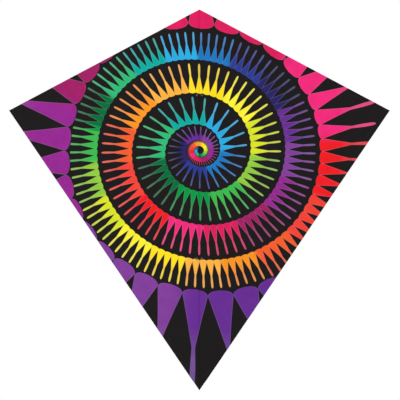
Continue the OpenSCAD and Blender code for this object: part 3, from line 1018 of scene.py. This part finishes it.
eyelet = [(1.25, 0.0), (1.3, -0.26), (1.6, -EYELET_FRONT), (2.1, -EYELET_FRONT), (2.6, -0.28)]
eyelet += [(2.8, -0.08), (2.7, -0.01), (1.68, -0.01), (1.68, PATCH_BACK + 0.02)]
eyelet += [(2.45, PATCH_BACK + 0.02), (2.6, PATCH_BACK + 0.15), (2.35, PATCH_BACK + 0.36)]
eyelet += [(1.8, PATCH_BACK + 0.44), (1.4, PATCH_BACK + 0.32), (1.25, PATCH_BACK + 0.1)]
for word in ("upper", "lower"):
    low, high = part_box("bridle_patch_" + word)
    centre = (low + high) / 2
    spots = [spot for spot in EYELETS if abs(spot.z - centre.z) < 1 * MM]
    bm = bmesh.new()
    bmesh.ops.create_grid(bm, x_segments=1, y_segments=1, size=0.5)
    laid = Matrix.Translation((0, PATCH_FRONT * MM, centre.z)) @ UPRIGHT
    laid = laid @ Matrix.Diagonal((high.x - low.x, high.z - low.z, 1, 1))
    bmesh.ops.transform(bm, matrix=laid, verts=bm.verts[:])
    bmesh.ops.bevel(
        bm, geom=bm.verts[:], offset=2 * MM, affect="VERTICES", segments=6, profile=0.5, material=-1
    )
    thicken(bm, (PATCH_BACK - PATCH_FRONT) * MM)
    patch = piece("bridle_patch_" + word + "_cloth", bm, coated)
    punch(patch, spots)

    # The four points of cloth in each eyelet, bent a little to the back
    bm = bmesh.new()
    for spot in spots:
        for quarter in range(4):
            start = math.radians(90 * quarter + 45)
            fan = [mm(0, POINT_TIP, 0)]
            for step in range(5):
                about = start + math.radians(22.5 * step)
                fan.append(mm(POINT_REACH * math.cos(about), POINT_ROOT, POINT_REACH * math.sin(about)))
            aside = Vector((math.cos(start + math.pi / 4), 0, math.sin(start + math.pi / 4)))
            corners = [bm.verts.new(spot + spoke + aside * SLIT * MM) for spoke in fan]
            for one, two in zip(corners[1:], corners[2:]):
                bm.faces.new((corners[0], one, two))
    outward(bm)
    thicken(bm, POINT_T * MM)
    points = piece("bridle_patch_" + word + "_slit_points", bm, coated)

    bm = bmesh.new()
    wide = (high.x - low.x) / 2 - ZIG_INSET * MM
    tall = (high.z - low.z) / 2 - ZIG_INSET * MM
    rectangle = [(-wide, -tall), (wide, -tall), (wide, tall), (-wide, tall), (-wide, -tall)]
    for (x0, z0), (x1, z1) in zip(rectangle, rectangle[1:]):
        zigs = round(math.hypot(x1 - x0, z1 - z0) / (ZIG_PITCH * MM))
        inside = Vector((z0 - z1, 0, x1 - x0)).normalized() * ZIG_WIDTH * MM
        surface = Vector((0, (PATCH_BACK + 0.03) * MM, centre.z))
        turns = [
            surface + Vector((x0 + (x1 - x0) * i / zigs, 0, z0 + (z1 - z0) * i / zigs))
            + inside * (i % 2) for i in range(zigs + 1)
        ]
        for one, two in zip(turns, turns[1:]):
            sew(bm, one, two)
    zigzag = piece("bridle_patch_" + word + "_zigzag", bm, thread_finish)

    bm = bmesh.new()
    for spot in spots:
        turned(bm, eyelet, spot, (0, 1, 0), 32)
    pair = piece("bridle_eyelets_" + word + "_rolled", bm, lacquered)
    for made, slot in ((patch, "patch"), (points, "patch"), (zigzag, "patch"), (pair, "eyelet")):
        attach(made, "kite_spine")
    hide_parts("bridle_patch_" + word)
    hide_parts("bridle_eyelets_" + word)


# Tail strap.
# A tab of webbing sewn under the end of the spine turns back round it and up, and its hook face
# presses onto a patch of loop tape on the tail channel. Pulled off, it lets the spine out.
STRAP_HALF = 5.0
STRAP_T = 0.7
low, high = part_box("strap_base")
STRAP_BOTTOM = low.z / MM
STRAP_TAB_TOP = high.z / MM
low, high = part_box("strap_flap")
STRAP_BACK = high.y / MM
STRAP_TOP = high.z / MM
strap_webbing = webbing_finish("black polyester strap", "X", "Z")


def strip(bm, path, bends, half_width):
    """A strip across X that follows a path of (y, z) in mm, with its inner corners rounded."""
    drawn_out(bm, [(-half_width, y, z) for y, z in path], (2 * half_width, 0, 0))
    for (y, z), radius in zip(path[1:-1], bends):
        corner = [
            edge for edge in bm.edges
            if all(math.hypot(v.co.y - y * MM, v.co.z - z * MM) < 1e-6 for v in edge.verts)
        ]
        round_off(bm, corner, radius)
    across = [edge for edge in bm.edges if abs(edge.verts[0].co.x - edge.verts[1].co.x) < 1e-6]
    longest = [edge for edge in across if edge.calc_length() > 2 * MM]
    bmesh.ops.subdivide_edges(bm, edges=longest, cuts=12, use_grid_fill=True)


# From the tab, 0.8 mm behind the sail's face, down and round the end of the spine, then up
path = [(0.8, STRAP_TAB_TOP), (0.8, STRAP_BOTTOM), (STRAP_BACK, STRAP_BOTTOM), (STRAP_BACK, STRAP_TOP)]
bm = bmesh.new()
strip(bm, path, (1.2, 1.6), STRAP_HALF)
face_towards(bm, Vector((0, 0, -1)))
thicken(bm, STRAP_T * MM)
strap = piece("tail_strap_webbing", bm, strap_webbing)
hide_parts("strap_base", "strap_flap")
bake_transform(strap)

bm = bmesh.new()
face_y = STRAP_BACK + 0.03
seam_low, seam_high = STRAP_BOTTOM + 5, STRAP_TOP - 1
for x in (-4, 4):
    sew(bm, mm(x, face_y, seam_low), mm(x, face_y, seam_high))
for z in (seam_low, seam_high):
    sew(bm, mm(-4, face_y, z), mm(4, face_y, z))
seam = piece("tail_strap_stitches", bm, thread_finish)
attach(seam, "tail_strap")

bm = bmesh.new()
for z in (STRAP_TAB_TOP - 0.9, STRAP_TAB_TOP - 2.6):
    sew(bm, mm(-4.2, 1.53, z), mm(4.2, 1.53, z))
seam = piece("tail_strap_tab_stitches", bm, thread_finish)
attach(seam, "kite_spine")


def tape_finish(name, dark, light, grain, height, sheen):
    """Hook or loop tape: a dull nylon ground under a field of fine hairs or hooks."""
    material, tree, shader = finish_of(
        name, Roughness=0.8, Specular_IOR_Level=0.3, Sheen_Weight=sheen, Sheen_Roughness=0.6
    )
    place = object_place(tree)
    hairs = add(tree, "ShaderNodeTexVoronoi", place, put={2: 1 / grain})
    clumps = speckle(tree, place, 500.0, 5.0, 0.7)
    both = calc(tree, "MULTIPLY_ADD", clumps, 1.2, hairs)
    ramp = remap(tree, both, 0.5, 1.5, 0.0, 1.0)
    # The colour is painted highlight on the tops of the hairs or hooks and painted shade in the hollows between
    # them, following the bump, with random clumps of tone mixed in
    colour = mix(tree, ramp, dark, light)
    link(tree, shader, Base_Color=colour, Normal=bumps(tree, both, 0.8, height))
    return material


loop_pile = tape_finish("black loop pile", "0C0C0D", "323035", 0.35 * MM, 0.0003, 0.4)
moulded_hooks = tape_finish("black nylon hooks", "0B0B0C", "26262A", 0.5 * MM, 0.0001, 0.1)
low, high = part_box("strap_loop_patch")
bm = bmesh.new()
bmesh.ops.create_cube(bm, size=1)
bmesh.ops.subdivide_edges(bm, edges=bm.edges[:], cuts=15, use_grid_fill=True)
for vert in bm.verts:
    fluff = noise.noise(vert.co * 23) * 0.09 * MM
    edge_drop = 0.12 * MM * max(abs(vert.co.x), abs(vert.co.z)) ** 6 * 64
    back = vert.co.y > 0
    vert.co = Vector((
        vert.co.x * (high.x - low.x) * (1 + 0.02 * noise.noise(vert.co * 9)),
        (low.y + high.y) / 2 + vert.co.y * (high.y - low.y) + (fluff - edge_drop if back else 0),
        (low.z + high.z) / 2 + vert.co.z * (high.z - low.z) * (1 + 0.01 * noise.noise(vert.co * 11)),
    ))
loops = piece("strap_loop_tape", bm, loop_pile)
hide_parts("strap_loop_patch")
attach(loops, "kite_spine")

# The hook tape on the strap's inner face: rows of small bent hooks on a thin backing
HOOK_GAP = 1.1
HOOK_H = 0.24
HOOK_R = 0.16
HOOK_TAPE = (8.6, 0.12)
bm = bmesh.new()
inner_y = (STRAP_BACK - STRAP_T) * MM
tape_low, tape_high = (STRAP_BOTTOM + 6) * MM, (STRAP_TOP - 1.2) * MM
bmesh.ops.create_cube(
    bm, size=1,
    matrix=Matrix.Translation((0, inner_y - HOOK_TAPE[1] / 2 * MM, (tape_low + tape_high) / 2))
    @ Matrix.Diagonal((HOOK_TAPE[0] * MM, HOOK_TAPE[1] * MM, tape_high - tape_low, 1)),
)
bmesh.ops.bevel(
    bm, geom=[edge for edge in bm.edges if abs(edge.verts[0].co.y - edge.verts[1].co.y) > 1e-5],
    offset=0.8 * MM, affect="EDGES", segments=4, profile=0.5, material=-1,
)
rows = int((tape_high - tape_low) / (HOOK_GAP * MM))
for row in range(rows):
    for column in range(7):
        stub = Vector((
            (column - 3 + 0.25 * (row % 2)) * HOOK_GAP * MM, inner_y - HOOK_H * MM,
            tape_low + (row + 0.5) * HOOK_GAP * MM,
        ))
        bmesh.ops.create_cone(
            bm, cap_ends=True, segments=5, radius1=HOOK_R * MM, radius2=0.1 * MM, depth=HOOK_H * MM,
            matrix=Matrix.Translation(stub) @ UPRIGHT,
        )
        bmesh.ops.create_icosphere(
            bm, subdivisions=1, radius=HOOK_R * MM,
            matrix=Matrix.Translation(stub + mm(0, -0.1, 0.12)),
        )
outward(bm)
hooks = piece("strap_hook_tape", bm, moulded_hooks)
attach(hooks, "tail_strap")


# Tail tab and ring.
# Webbing wrapped round the spine and barred with thread, its loop holding a ring of 1.2 mm
# nickel plated steel wire, bent round until its ends meet at the bottom. A tail ties to it.
low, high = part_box("tail_tab")
TAB_TOP, TAB_BOTTOM, TAB_BACK = high.z / MM, low.z / MM, high.y / MM
WRAP_R = 2.72
tab_y, tab_z = (value / MM for value in joints["tail_ring_swing"]["pos_m"][1:])
wrap = [(ROD_PLAY, TAB_BOTTOM + 0.2), (2.2, TAB_BOTTOM), (2.55, TAB_BOTTOM), (2.7, TAB_BOTTOM + 0.25)]
wrap += [(2.7, tab_z - 1.0), (2.62, tab_z), (2.7, tab_z + 1.0), (2.7, TAB_TOP - 0.25)]
wrap += [(2.55, TAB_TOP), (2.2, TAB_TOP), (ROD_PLAY, TAB_TOP - 0.2)]
bm = bmesh.new()
turned(bm, wrap, (0, ROD_Y, 0), (0, 0, 1), 36)
wrapping = piece("tail_tab_wrap", bm, strap_webbing)
eye_half = TAB_BACK - tab_y
path = [(6.6, tab_z - eye_half), (TAB_BACK, tab_z - eye_half)]
path += [(y, tab_z + eye_half) for y in (TAB_BACK, 6.6)]
bm = bmesh.new()
strip(bm, path, (eye_half * 0.96, eye_half * 0.96), 2.0)
outward(bm)
middle = mm(0, 8.4, tab_z)
if sum(face.normal.dot(face.calc_center_median() - middle) for face in bm.faces) < 0:
    bmesh.ops.reverse_faces(bm, faces=bm.faces[:])
thicken(bm, 0.5 * MM)
eye_loop = piece("tail_tab_loop", bm, strap_webbing)
bm = bmesh.new()
for above in (-1, 1):
    level = tab_z + above * (eye_half + 0.02)
    for y in (7.9, 8.3):
        sew(bm, mm(-1.7, y, level), mm(1.7, y, level), (0, 0, 1))
for turn in range(12):
    for height in (TAB_TOP - 1.1, TAB_BOTTOM + 1.1):
        ends = []
        for part in (turn, turn + 0.75):
            about = part * TURN / 12
            x, y = WRAP_R * math.sin(about), WRAP_R * math.cos(about)
            ends.append(mm(x, ROD_Y / MM - y, height))
        out = (ends[0] + ends[1]) / 2 - Vector((0, ROD_Y, height * MM))
        sew(bm, *ends, out)
bars = piece("tail_tab_stitches", bm, thread_finish)
for made in (wrapping, eye_loop, bars):
    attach(made, "kite_spine")
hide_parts("tail_tab")

# Nickel over drawn wire: bright, faintly warm, with small rubbed patches
nickel, tree, shader = finish_of("nickel plated steel wire", Metallic=1.0)
place = object_place(tree)
rubbed = speckle(tree, place, 700.0, 5.0, 0.7)
colour = mix(tree, rubbed, "C9C7C0", "A9A8A4")
link(
    tree, shader, Base_Color=colour,
    Roughness=remap(tree, rubbed, 0.3, 0.7, 0.16, 0.34),
    Normal=bumps(tree, rubbed, 0.15, 0.00003),
)

low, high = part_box("tail_ring")
WIRE_R = (high.y - low.y) / 2
RING_R = (high.x - low.x) / 2 - WIRE_R
ring_centre = (low + high) / 2
bm = bmesh.new()
bmesh.ops.create_circle(
    bm, cap_ends=False, segments=14, radius=WIRE_R,
    matrix=Matrix.Translation(ring_centre - Vector((0, 0, RING_R))) @ Matrix.Rotation(math.pi / 2, 4, "Y"),
)
bmesh.ops.spin(
    bm, geom=bm.verts[:] + bm.edges[:], cent=ring_centre, axis=(0, 1, 0), angle=TURN - 0.03, steps=72
)
bmesh.ops.holes_fill(bm, edges=[edge for edge in bm.edges if edge.is_boundary], sides=0)
outward(bm)
ring = piece("tail_ring_wire", bm, nickel)
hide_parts("tail_ring")
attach(ring, "tail_ring")


# A pale seamless floor and soft studio light from all round, with a large lamp to the front
# left and a fainter one behind. The camera stands far off, square to the sail.
floor_finish, tree, shader = finish_of("matt white floor", Base_Color=linear("F4F4F2"), Roughness=0.9)
bm = bmesh.new()
bmesh.ops.create_grid(bm, x_segments=2, y_segments=2, size=6)
bmesh.ops.translate(bm, verts=bm.verts[:], vec=(0, 0, TAIL_Z - 0.04))
floor = piece("floor", bm, floor_finish)

world = bpy.data.worlds.new("studio")
world.use_nodes = True
world.node_tree.nodes["Background"].inputs["Color"].default_value = (1, 1, 1, 1)
world.node_tree.nodes["Background"].inputs["Strength"].default_value = 1.0
bpy.context.scene.world = world
bpy.context.scene.view_settings.view_transform = "Standard"

for name, energy, size, place in (
    ("key lamp", 14.0, 1.6, (-1.8, -2.6, 1.3)),
    ("back lamp", 8.0, 1.6, (1.6, 2.4, 1.2)),
):
    lamp = bpy.data.lights.new(name, "AREA")
    lamp.energy = energy
    lamp.size = size
    stand = bpy.data.objects.new(name, lamp)
    bpy.context.scene.collection.objects.link(stand)
    stand.location = place
    aim = Vector((0, 0, (NOSE_Z + TAIL_Z) / 2)) - stand.location
    stand.rotation_euler = aim.to_track_quat("-Z", "Y").to_euler()

VIEW_WIDTH = 0.8012
VIEW_X = 0.0012
VIEW_Z = -0.1792
eye = bpy.data.cameras.new("camera")
eye.type = "ORTHO"
eye.ortho_scale = VIEW_WIDTH
camera = bpy.data.objects.new("camera", eye)
bpy.context.scene.collection.objects.link(camera)
camera.location = (VIEW_X, -4, VIEW_Z)
camera.rotation_euler = (math.pi / 2, 0, 0)
bpy.context.scene.camera = camera
